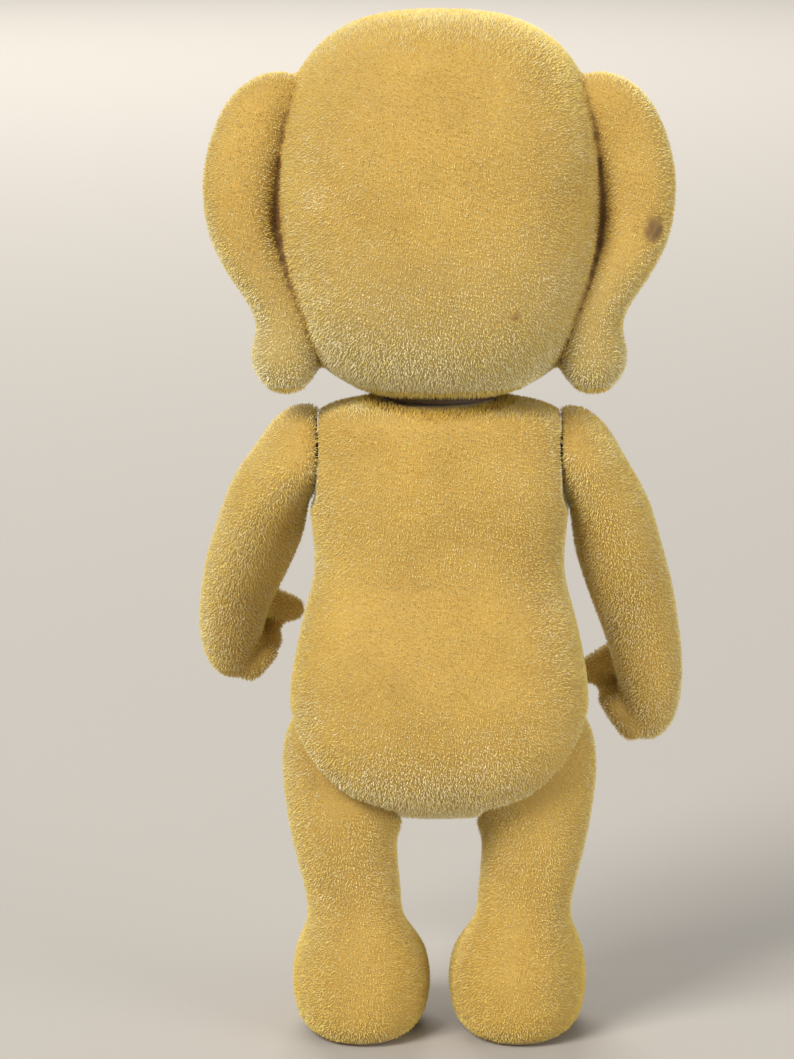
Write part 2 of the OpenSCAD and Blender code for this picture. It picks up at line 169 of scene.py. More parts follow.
camera_data = bpy.data.cameras.new("camera")
camera = bpy.data.objects.new("camera", camera_data)
bpy.context.collection.objects.link(camera)
camera.location = aim + camera_distance * Vector((0, math.cos(camera_rise), math.sin(camera_rise)))
camera.rotation_euler = (aim - camera.location).to_track_quat("-Z", "Y").to_euler()
camera_data.sensor_width = 36
camera_data.lens = camera_data.sensor_width * camera_distance / frame_height
camera_data.shift_x = -0.040               # the toy stands a little right of the frame's middle
camera_data.shift_y = -0.005
camera_data.clip_start = 0.01
bpy.context.scene.camera = camera
print("lens in mm:", round(camera_data.lens, 1))

# %% Lights
def softbox(name, place, size, power, colour):
    """A square area light that looks at the toy's middle."""
    data = bpy.data.lights.new(name, "AREA")
    data.size = size
    data.energy = power
    data.color = linear(colour)[:3]
    lamp = bpy.data.objects.new(name, data)
    bpy.context.collection.objects.link(lamp)
    lamp.location = aim + Vector(place)
    lamp.rotation_euler = (aim - lamp.location).to_track_quat("-Z", "Y").to_euler()


# name, place from the toy's middle in metres, side in metres, watts, colour
softbox("key_softbox", (1.0, 1.3, 1.3), 0.8, 48, "FFF8EE")
softbox("fill_softbox", (-1.5, 1.3, 0.3), 1.2, 25, "FFFAF2")
softbox("front_softbox", (0.3, -1.7, 0.9), 1.2, 30, "FFF8EE")

world = bpy.data.worlds.new("studio")
world.use_nodes = True
world.node_tree.nodes["Background"].inputs["Color"].default_value = linear("F3F1EE")
world.node_tree.nodes["Background"].inputs["Strength"].default_value = 0.42
bpy.context.scene.world = world
bpy.context.scene.view_settings.view_transform = "Standard"

# %% A floor that curves up all round
rings, segments, floor_reach = 24, 96, 4.0
floor_mesh = bpy.data.meshes.new("floor")
sweep = [(floor_reach * 0.5 * t, 0.0) for t in (0.0, 0.5, 1.0)]      # radius and height of each ring
sweep += [(floor_reach * (0.5 + 0.5 * math.sin(a)), floor_reach * 0.5 * (1 - math.cos(a)))
          for a in np.linspace(0, math.pi / 2, rings)[1:]]
floor_points = [(r * math.cos(t), r * math.sin(t), cad_low.z + z)
                for r, z in sweep for t in np.linspace(0, 2 * math.pi, segments, endpoint=False)]
floor_faces = [(k * segments + i, k * segments + (i + 1) % segments,
                (k + 1) * segments + (i + 1) % segments, (k + 1) * segments + i)
               for k in range(len(sweep) - 1) for i in range(segments)]
floor_mesh.from_pydata(floor_points, [], floor_faces)
floor_mesh.shade_smooth()
floor = bpy.data.objects.new("floor", floor_mesh)
bpy.context.collection.objects.link(floor)
floor_paint, tree = new_material("matt_floor_paint")
finish_material(tree, add_node(tree, "ShaderNodeBsdfPrincipled",
                               Base_Color=linear("A9A7A4"), Roughness=0.9))
floor_mesh.materials.append(floor_paint)
print("the floor is", 2 * floor_reach, "m across, with", len(floor_faces), "faces")

# %% [markdown]
# ## One smooth skin for each moulding
#
# A vinyl or plastic moulding has no facets and no sharp corners, because its mould was
# sculpted in clay. The CAD solids are faceted, and their bores would let fibres grow
# inside. So each skin is made as a sculptor would: the solids are joined, the bores are
# plugged, the lot is turned to an even mesh by a voxel remesh, and that is smoothed.
# The remesh welds the ears and fingers on with soft creases, as on the real mouldings.

# %% Small mesh tools
VOXEL = 0.55 * MM             # edge length of a skin's even mesh


def cylinder_at(bm, centre, direction, radius, low, high):
    """A closed cylinder along a direction, from low to high past its centre."""
    turn = direction.to_track_quat("Z", "Y").to_matrix().to_4x4()
    place = Matrix.Translation(centre + direction * (low + high) / 2) @ turn
    bmesh.ops.create_cone(bm, cap_ends=True, segments=32, radius1=radius, radius2=radius,
                          depth=high - low, matrix=place)


def largest_island(bm):
    """Keeps the connected part that spans the most, and deletes the rest."""
    bm.verts.ensure_lookup_table()
    seen = bytearray(len(bm.verts))
    best, best_span = [], -1.0
    for start in bm.verts:
        if seen[start.index]:
            continue
        seen[start.index] = 1
        island, todo = [], [start]
        while todo:
            vert = todo.pop()
            island.append(vert)
            for edge in vert.link_edges:
                other = edge.other_vert(vert)
                if not seen[other.index]:
                    seen[other.index] = 1
                    todo.append(other)
        heights = [v.co.z for v in island]
        widths = [v.co.x for v in island]
        island_span = max(heights) - min(heights) + max(widths) - min(widths)
        if island_span > best_span:
            best, best_span = island, island_span
    keep = set(best)
    bmesh.ops.delete(bm, geom=[v for v in bm.verts if v not in keep], context="VERTS")


def evaluated_copy(source, name):
    """The source with its modifiers applied, as a new plain mesh."""
    graph = bpy.context.evaluated_depsgraph_get()
    graph.update()
    made = bpy.data.meshes.new_from_object(source.evaluated_get(graph), depsgraph=graph)
    made.name = name
    return made


def mesh_arrays(mesh):
    """Vertex places and normals of a mesh, as two arrays."""
    places = np.empty(3 * len(mesh.vertices), np.float32)
    mesh.vertices.foreach_get("co", places)
    normals = np.empty(3 * len(mesh.vertices), np.float32)
    mesh.vertex_normals.foreach_get("vector", normals)
    return places.reshape(-1, 3).astype(float), normals.reshape(-1, 3).astype(float)


# %% Skin making
def joined_solids(name, nodes, plugs):
    """One mesh of CAD nodes and plugs, whose surfaces still overlap."""
    bm = bmesh.new()
    for node in nodes:
        part = bmesh.new()
        part.from_mesh(frame["nodes"][node].data)
        bmesh.ops.remove_doubles(part, verts=part.verts, dist=1e-6)
        scratch = bpy.data.meshes.new("scratch")
        part.to_mesh(scratch)
        part.free()
        bm.from_mesh(scratch)
        bpy.data.meshes.remove(scratch)
    for plug in plugs:
        cylinder_at(bm, *plug)
    rough = bpy.data.meshes.new(name)
    bm.to_mesh(rough)
    bm.free()
    return rough


def make_skin(name, nodes, plugs, smoothing, flats):
    """A closed, smooth outer skin over CAD nodes.

    plugs are (centre, direction, radius, low, high). flats are (point, direction) of the
    faces that stay crisp, because a joint turns on them.
    """
    rough = joined_solids(name, nodes, plugs)
    skin = bpy.data.objects.new(name, rough)
    bpy.context.collection.objects.link(skin)
    remesh = skin.modifiers.new("even_mesh", "REMESH")
    remesh.mode = "VOXEL"
    remesh.voxel_size = VOXEL
    skin.data = evaluated_copy(skin, name + "_even")
    skin.modifiers.clear()
    places, _ = mesh_arrays(skin.data)
    flat = np.zeros(len(places), bool)
    for point, direction in flats:
        flat |= np.abs((places - np.array(point)) @ np.array(direction)) < 0.35 * VOXEL
    soft = skin.vertex_groups.new(name="soft")
    soft.add([int(i) for i in np.flatnonzero(~flat)], 1.0, "REPLACE")
    smooth = skin.modifiers.new("smooth", "SMOOTH")
    smooth.factor = 0.5
    smooth.iterations = smoothing
    smooth.vertex_group = "soft"
    made = evaluated_copy(skin, name)
    skin.modifiers.clear()
    skin.vertex_groups.clear()
    bm = bmesh.new()
    bm.from_mesh(made)
    largest_island(bm)
    bmesh.ops.recalc_face_normals(bm, faces=bm.faces)
    bm.to_mesh(made)
    bm.free()
    made.shade_smooth()
    skin.data = made
    bpy.data.meshes.remove(rough)
    print(name, "has", len(made.polygons), "faces")
    return skin


# %% Plugs for the bores
BORE = 3.4 * MM           # a little more than the pegs and their sockets
peg_bores = [(centre, out, BORE, -3.6 * MM, 0.0) for centre, out in limb_joints.values()]
neck_up = Vector((0, 0, 1))


def limb_socket(joint_name):
    """A plug for the socket in a limb's flat joint face."""
    centre, out = limb_joints[joint_name]
    return (centre, out, 1.25 * BORE, 0.35 * MM, 5.6 * MM)


def node_middle(node):
    low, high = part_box(node)
    return (low + high) / 2


head_low, head_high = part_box("head")
SEAT_RADIUS = {"eye_left": 2.9 * MM, "eye_right": 2.9 * MM, "nose": 3.9 * MM}
face_plugs = [(node_middle(n), Vector((0, -1, 0)), radius, -2 * MM, 1.3 * MM)
              for n, radius in SEAT_RADIUS.items()]
print("plugs:", len(peg_bores), "peg bores and", len(face_plugs), "seats in the face")

# %% The torso, limb and head skins
LIMB_GAP = 0.3 * MM           # between a limb's flat face and the seat it turns on
joint_seats = list(limb_joints.values())
TORSO_SMOOTHING, HEAD_SMOOTHING, LIMB_SMOOTHING = 10, 12, 10
limb_flats = {name: (centre + out * LIMB_GAP, out) for name, (centre, out) in limb_joints.items()}
torso_skin = make_skin("torso_skin", ["torso_front", "torso_back"], peg_bores + [
    (neck_centre, neck_up, BORE, -8 * MM, 0.0)], TORSO_SMOOTHING, joint_seats + [(neck_centre, neck_up)])
head_base = Vector((neck_centre.x, neck_centre.y, head_low.z))
head_skin = make_skin("head_skin", ["head", "ear_left", "ear_right"], face_plugs + [
    (head_base, neck_up, 7.4 * MM, 0.0, 2.2 * MM)], HEAD_SMOOTHING, [(head_base, neck_up)])
limb_skins = {}
JOINT_OF = {"arm_left": "shoulder_left", "arm_right": "shoulder_right",
            "leg_left": "hip_left", "leg_right": "hip_right"}
for limb, joint_name in JOINT_OF.items():
    limb_skins[limb] = make_skin(limb + "_skin", [limb], [limb_socket(joint_name)], LIMB_SMOOTHING,
                                 [limb_flats[joint_name]])
skins = {"torso": torso_skin, "head": head_skin, **limb_skins}

# %% [markdown]
# ## Sculpting the mouth
#
# Under the nose of such a toy a short line runs down and parts into two curves. It is
# a shallow groove in the mould, painted brown before the flock goes on. Each stroke
# here is a row of points on the muzzle, and the skin is pressed in softly near it.

# %% The mouth strokes
def strength_near(points, strokes, reach):
    """For each point, 1 on a stroke, falling smoothly to 0 at about twice the reach."""
    nearest = np.full(len(points), 1e9)
    for stroke in strokes:
        for a, b in zip(stroke[:-1], stroke[1:]):
            along = b - a
            t = np.clip(((points - a) @ along) / (along @ along), 0, 1)
            nearest = np.minimum(nearest, np.linalg.norm(points - (a + t[:, None] * along), axis=1))
    return np.exp(-(nearest / reach) ** 2)


nose_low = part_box("nose")[0]


def on_muzzle(x, z):
    """The point on the head's front at a place seen from in front, in metres."""
    hit, place, _, _ = head_skin.ray_cast((x, -0.2, z), (0, 1, 0))
    return np.array(place if hit else (x, nose_low.y, z))


MOUTH_DROP = 3.2 * MM          # length of the short line under the nose
SMILE_WIDTH = 5.0 * MM         # how far each curve goes to its side
SMILE_SAG = 1.5 * MM
STROKE_REACH = 0.55 * MM
STROKE_DEPTH = 0.5 * MM

mouth_top = nose_low.z - 0.3 * MM
philtrum = [on_muzzle(0, mouth_top - MOUTH_DROP * t) for t in np.linspace(0, 1, 6)]
smiles = [[on_muzzle(side * SMILE_WIDTH * t,
                     mouth_top - MOUTH_DROP - SMILE_SAG * math.sin(math.pi * 0.8 * t))
           for t in np.linspace(0, 1, 9)] for side in (-1, 1)]
places, normals = mesh_arrays(head_skin.data)
mouth_paint = strength_near(places, [philtrum] + smiles, STROKE_REACH)
places -= normals * (STROKE_DEPTH * mouth_paint)[:, None]
head_skin.data.vertices.foreach_set("co", places.ravel())
head_skin.data.update()
print("mouth strokes press in", int((mouth_paint > 0.5).sum()), "points")

# %% [markdown]
# ## Where the pile is long, short or missing
#
# A flocker masks the joint faces, the seats of the eyes and nose and the soles. On the
# rim round a limb's joint face, and round the neck, the fibres stand long and close the
# gap. Each skin gets a "nap" attribute on its points: the share of the usual fibre
# length that stands there, and 0 where the skin is bare.

# %% The nap beside a joint
RIM_NAP = 1.5                  # share of the usual fibre length on the rim round a joint face
RIM_DEPTH = 1.5 * MM           # how far from the joint's plane the rim goes
FACE_DEPTH = 0.75 * MM         # points this close to a joint's plane are on its face
naps = {}


def joint_nap(points, normals, centre, out, facing, face_reach, rim_reach):
    """Nap beside a joint, and each point's depth and radius about the joint's axis.

    facing is 1 for the torso's side of the joint and -1 for the limb's side.
    """
    offset = points - np.array(centre)
    depth = offset @ np.array(out)
    radius = np.linalg.norm(offset - depth[:, None] * np.array(out), axis=1)
    looks = normals @ np.array(out) * facing
    nap = np.ones(len(points))
    nap[(radius < rim_reach) & (looks > 0.1) & (np.abs(depth) < RIM_DEPTH)] = RIM_NAP
    nap[(np.abs(depth) < FACE_DEPTH) & (radius < face_reach) & (looks > 0.6)] = 0
    return nap, depth, radius


def neck_distance(points):
    """How far each point is from the neck's axis."""
    return np.hypot(points[:, 0], points[:, 1] - neck_centre.y)


def say_bare(name):
    print(name, "is bare on", round(100 * float((naps[name] == 0).mean()), 1), "% of its skin")


# %% The torso's nap
LEG_ROOM = 9.9 * MM            # radius of the pocket that a leg's round top turns in
POCKET_RIM = 0.5 * MM
COLLAR_NAP = 2.1               # long fibres that hide the neck's collar

points, normals = mesh_arrays(torso_skin.data)
nap = np.ones(len(points))
for name, (centre, out) in limb_joints.items():
    hip = name.startswith("hip")
    face_reach = (11 if hip else 5.8) * MM
    here, depth, radius = joint_nap(points, normals, centre, out, 1, face_reach, 14 * MM)
    nap = np.minimum(nap, here)
    if hip:
        nap[(depth > -0.6 * MM) & (radius < LEG_ROOM + POCKET_RIM)] = 0
        low = points[:, 2] < centre.z + 2 * MM
        nap[(np.abs(depth) < FACE_DEPTH) & (normals @ np.array(out) > 0.6) & low] = 0
from_neck = neck_distance(points)
torso_collar = (points[:, 2] > neck_centre.z - 2.5 * MM) & (from_neck < 11 * MM)
nap[torso_collar] = COLLAR_NAP
nap[(points[:, 2] > neck_centre.z - 1 * MM) & (from_neck < 8.5 * MM)] = 0
naps["torso"] = nap
say_bare("torso")

# %% The head's nap
BARE_ROOM = {"eye_left": 3.0 * MM, "eye_right": 3.0 * MM, "nose": 3.9 * MM}
HEAD_RIM_NAP = 1.4             # long fibres round the head's flat underside

points, normals = mesh_arrays(head_skin.data)
nap = np.where(mouth_paint > 0.35, 0.0, 1.0)
under = (points[:, 2] < head_low.z + 1.5 * MM) & (normals[:, 2] < -0.3)
nap[under] = HEAD_RIM_NAP
nap[under & (neck_distance(points) < 8.0 * MM)] = 0
for node, room in BARE_ROOM.items():
    far = np.linalg.norm((points - np.array(node_middle(node)))[:, [0, 2]], axis=1)
    on_face = points[:, 1] < neck_centre.y - 8 * MM
    nap[(far < room) & on_face] = 0
naps["head"] = nap
say_bare("head")

# %% The limbs' nap
LOBE_NAP = 0.4                 # the round top of a leg is short where it turns in its pocket

for limb, joint_name in JOINT_OF.items():
    points, normals = mesh_arrays(limb_skins[limb].data)
    centre, out = limb_joints[joint_name]
    leg = limb.startswith("leg")
    face_reach = (9 if leg else 5.5) * MM
    nap, depth, radius = joint_nap(points, normals, centre, out, -1, face_reach, 12.5 * MM)
    if leg:
        lobe = (radius < 10.2 * MM) & (depth < 9 * MM)
        nap[lobe] = np.minimum(nap[lobe], LOBE_NAP)
        nap[(points[:, 2] < 0.7 * MM) & (normals[:, 2] < -0.4)] = 0
    naps[limb] = nap
    say_bare(limb)

# %% [markdown]
# ## Wear and marks
#
# An old flocked toy has rubbed places. The pile on the right ear has a small bald patch
# where brown shows, the back of the head has one pale spot, and there is a tiny brown
# scuff. Each is a place on the skin, found by a ray from behind the toy. Places across
# and up are in millimetres, with the toy's left side on +X.

# %% Marks on the head and right ear
def behind(x, z):
    """The point on the head's back at a place seen from behind, in metres."""
    hit, place, _, _ = head_skin.ray_cast((x, 0.2, z), (0, -1, 0))
    return np.array(place) if hit else np.array((x, head_high.y, z))


def patch(points, centre, wide, high):
    """1 inside an upright oval patch round a point and 0 well outside it."""
    offset = points - centre
    size = np.hypot(offset[:, 0] / wide, offset[:, 2] / high)
    near = np.abs(offset[:, 1]) < 4 * MM
    return np.clip(1.6 - size, 0, 1) * near


points, _ = mesh_arrays(head_skin.data)
ear_points = points * (np.abs(points[:, :1]) > 25 * MM)       # the others count as the origin
ragged = np.array([noise.noise(Vector(p) / (0.8 * MM)) for p in ear_points])
bald_centre = behind(-30.1 * MM, 119 * MM)
bald = patch(points, bald_centre, 1.15 * MM, 1.6 * MM) + 0.5 * ragged
bald = np.clip(bald, 0, 1) * (patch(points, bald_centre, 1.8 * MM, 2.4 * MM) > 0)
pale = patch(points, behind(17.4 * MM, 123.9 * MM), 1.3 * MM, 1.5 * MM)
scuff = patch(points, behind(-10.6 * MM, 108 * MM), 0.5 * MM, 0.75 * MM)
naps["head"] = np.where(bald > 0.5, 0.0, naps["head"])
print("marks cover", int((bald > 0.5).sum()), int((pale > 0.5).sum()), int((scuff > 0.5).sum()), "points")

# %% [markdown]
# ## Painted shade in the creases
#
# Deep in the crease between an ear and the head the pile is painted brown, as shade. A point
# is in a crease if the skin is hollow there, so that its neighbours' middle lies above
# it, or if the skin stands close in front of it.

# %% How deep each point of the head lies in a crease
HOLLOW_GAIN, HOLLOW_LEAST = 22, 0.6
FACED_GAIN = 1.1
BLUR_ROUNDS = 4


def crease_depth(skin, reach):
    """For each point, how deep it lies in a crease of its own skin, from 0 to 1."""
    places, normals = mesh_arrays(skin.data)
    ends = np.empty(2 * len(skin.data.edges), np.int32)
    skin.data.edges.foreach_get("vertices", ends)
    first, second = ends.reshape(-1, 2).T
    neighbours = np.bincount(ends, minlength=len(places))

    def around(values):
        """The mean of the values at each point's neighbours."""
        total = np.bincount(first, values[second], len(places))
        total = total + np.bincount(second, values[first], len(places))
        return total / np.maximum(neighbours, 1)

    middles = np.column_stack([around(places[:, axis]) for axis in range(3)])
    hollow = np.einsum("ij,ij->i", middles - places, normals) / VOXEL
    faced = np.zeros(len(places))
    for i, (place, normal) in enumerate(zip(places, normals)):
        start = place + normal * 0.2 * MM
        hit, there, _, _ = skin.ray_cast(start, normal, distance=reach)
        if hit:
            faced[i] = 1 - (there - Vector(start)).length / reach
    for _ in range(BLUR_ROUNDS):
        hollow = (hollow + around(hollow)) / 2
        faced = (faced + around(faced)) / 2
    return np.clip(np.maximum(HOLLOW_GAIN * hollow - HOLLOW_LEAST, FACED_GAIN * faced), 0, 1)


creases = crease_depth(head_skin, 4.5 * MM)
print("creases cover", int((creases > 0.5).sum()), "points of the head")

# %% [markdown]
# ## Lighter and darker pile
#
# A "shade" attribute moves the fibres' tone: above 0 they are paler, below 0 deeper, and
# far below 0 they take a brown, used as painted shade in a crease. Low on the head and seat
# the pile is paler and greyer as painted sheen, a little on the arms too, and the feet are deeper as
# painted shade.
# "painted_sheen" greys the head's coat there too, and "paint_and_crease_shade" browns it along the mouth,
# on the bald patch and, as painted shade, in the creases.

# %% Shades, painted sheen and shade, and the coat's brown
# painted sheen (above 0) or painted shade (below 0) at the foot of each fade, and the heights in mm where
# it is full and where it ends
FADES = {"head": (1.3, 96, 122), "torso": (1.9, 33, 46), "leg_left": (-1.2, 4, 26),
         "leg_right": (-1.5, 4, 26), "arm_left": (0.2, 45, 85), "arm_right": (0.3, 45, 85)}
# painted shade in the neck's crease, on the torso's collar and the head's underside
NECK_PAINTED_SHADE = -3

shades = {}
for body, (shade, full, end) in FADES.items():
    points, _ = mesh_arrays(skins[body].data)
    heights = points[:, 2] / MM
    shades[body] = shade * np.clip((end - heights) / (end - full), 0, 1)
# the head's coat greys as painted sheen where its low pile is paler
sheen_greys = {body: np.clip(0.6 * shade, 0, 0.8) * (body == "head") for body, shade in shades.items()}
# painted shade where the head meets the torso
shades["torso"][torso_collar] += NECK_PAINTED_SHADE
# painted shade: the deeper a point lies in a crease, the browner its fibres
shades["head"] -= 8 * creases
shades["head"][under] += NECK_PAINTED_SHADE
shades["head"] += 2.2 * pale - 7 * scuff - 1.2 * np.clip(bald * 2, 0, 1)


def store(mesh, name, values):
    """Writes one number per point as a named attribute."""
    layer = mesh.attributes.get(name) or mesh.attributes.new(name, "FLOAT", "POINT")
    layer.data.foreach_set("value", values.astype(np.float32))


for name, skin in skins.items():
    store(skin.data, "nap", naps[name])
    store(skin.data, "shade", shades[name])
    store(skin.data, "painted_sheen", sheen_greys[name])
# the coat browns along the mouth's drawn line and on the bald patch, and as painted shade in the creases
store(head_skin.data, "paint_and_crease_shade", np.maximum.reduce([mouth_paint, 0.8 * bald, 0.85 * creases]))
print("shades run from", {name: round(float(shade.min()), 1) for name, shade in shades.items()},
      "to", {name: round(float(shade.max()), 1) for name, shade in shades.items()})

# %% [markdown]
# ## The glue coat under the pile
#
# Between the fibres the eye sees the glue: a golden-brown emulsion, matt and slightly lumpy,
# a little deeper than the fibres, partly as painted shade at the pile's foot. It shows where
# the pile is rubbed and in the masked joint faces. Its lumps are half a millimetre, its stains a
# centimetre.

# %% Glue coat material
# the glue's own golden-brown, kept a little deeper than the fibres partly as painted shade at the pile's
# foot
GLUE_TONES = ("A5853E", "BE9D4E")
# the grey of painted sheen on the head's low coat
SHEEN_GREY_GLUE = "A4935C"
# brown of the mouth's line and the bald patch, also used as painted shade in the creases
BROWN_PAINT_AND_SHADE = "5A3A1C"


def glue_coat(name, has_paint_and_shade):
    """Matt glue, greyed as painted sheen and, if asked, browned along the mouth, on the bald patch and, as
    painted shade, in the creases.
    """
    low, high = GLUE_TONES
    made, tree = new_material(name)
    place = add_node(tree, "ShaderNodeTexCoord").outputs["Object"]
    stains = add_node(tree, "ShaderNodeTexNoise", Vector=place, Scale=1 / (10 * MM), Detail=3.0)
    grain = add_node(tree, "ShaderNodeTexNoise", Vector=place, Scale=1 / (0.5 * MM), Detail=2.0)
    mixed = add_node(tree, "ShaderNodeMath", {"operation": "MULTIPLY"},
                     n0=grain.outputs["Fac"], n1=0.35)
    both = add_node(tree, "ShaderNodeMath", {"operation": "MULTIPLY_ADD"},
                    n0=stains.outputs["Fac"], n1=0.65, n2=mixed.outputs[0])
    colour = ramp(tree, both.outputs[0], [(0.3, low), (0.7, high)])
    # painted sheen greys the coat
    sheen_grey = add_node(tree, "ShaderNodeAttribute", {"attribute_name": "painted_sheen"})
    colour = add_node(tree, "ShaderNodeMix", {"data_type": "RGBA"},
                      n0=sheen_grey.outputs["Fac"], n6=colour, n7=linear(SHEEN_GREY_GLUE)).outputs[2]
    if has_paint_and_shade:
        # browns the coat for the mouth and the bald patch, and as painted shade in the creases
        painted = add_node(tree, "ShaderNodeAttribute", {"attribute_name": "paint_and_crease_shade"})
        brown = add_node(tree, "ShaderNodeMix", {"data_type": "RGBA"},
                         n0=painted.outputs["Fac"], n6=colour, n7=linear(BROWN_PAINT_AND_SHADE))
        colour = brown.outputs[2]
    bump = add_node(tree, "ShaderNodeBump", Height=grain.outputs["Fac"], Strength=0.6, Distance=0.15 * MM)
    finish_material(tree, add_node(tree, "ShaderNodeBsdfPrincipled", Base_Color=colour, Roughness=0.8,
                                   IOR=1.5, Sheen_Weight=0.25, Sheen_Roughness=0.5,
                                   Normal=bump.outputs["Normal"]))
    return made


body_glue = glue_coat("flock_glue_on_plastic", False)
head_glue = glue_coat("flock_glue_on_vinyl", True)
for name, skin in skins.items():
    skin.data.materials.clear()
    skin.data.materials.append(head_glue if name == "head" else body_glue)
    print(name, "wears", skin.data.materials[0].name)

# %% [markdown]
# ## The pile itself
#
# The flock is nylon fibre about half a millimetre long. It gives a soft fringe at the
# outline and a fine salt-and-pepper grain, and neither comes out of a bump map, so the
# fibres are real geometry. Geometry Nodes scatters points over a skin, stands a thin
# four-faced spike on each, leans it downwards a little with some disorder, and gives it
# one of five dyed tones or a brown, used as painted shade in the creases and at the neck. True
# fibres are a hundred to the square millimetre, so these are fewer and thicker, as a painter would do it.

# %% Fibre tones
# the last tone is a brown for painted shade in the creases and at the neck, which the scuff takes too
FIBRE_TONES = ["F2ECC4", "DDD39C", "E8DA88", "E6D072", "DCC15A", "8A6430"]
CREASE_SHADE_TONE = 6.5             # a tone number above this takes the last colour, a crease's brown
fibre_materials = []
for number, tone in enumerate(FIBRE_TONES):
    made, tree = new_material("nylon_flock_" + "abcdef"[number])
    finish_material(tree, add_node(tree, "ShaderNodeBsdfPrincipled", Base_Color=linear(tone),
                                   Roughness=0.65, IOR=1.53, Sheen_Weight=0.35, Sheen_Roughness=0.4,
                                   Sheen_Tint=linear("FFF4DC")))
    fibre_materials.append(made)
print("fibre tones:", [made.name for made in fibre_materials])

# %% The pile's node tree
PILE = {
    "Density": 10.4e6,            # fibres to the square metre
    "Length": 0.42 * MM,
    "Width": 0.15 * MM,
    "Lean": 0.16,                 # how far a fibre leans down, as a share of upright
    "Disorder": 0.4,
}
SHORTEST, LONGEST = 0.7, 1.15     # shares of the length
CLOUD_SIZE, TUFT_SIZE = 9 * MM, 1.4 * MM
CLOUD_TONES, TUFT_TONES = 3.0, 3.4      # how many tones the clouds and the tufts span
DICE_TONES = 1.3                  # how far chance takes a fibre's tone either way
TONE_START = -0.7


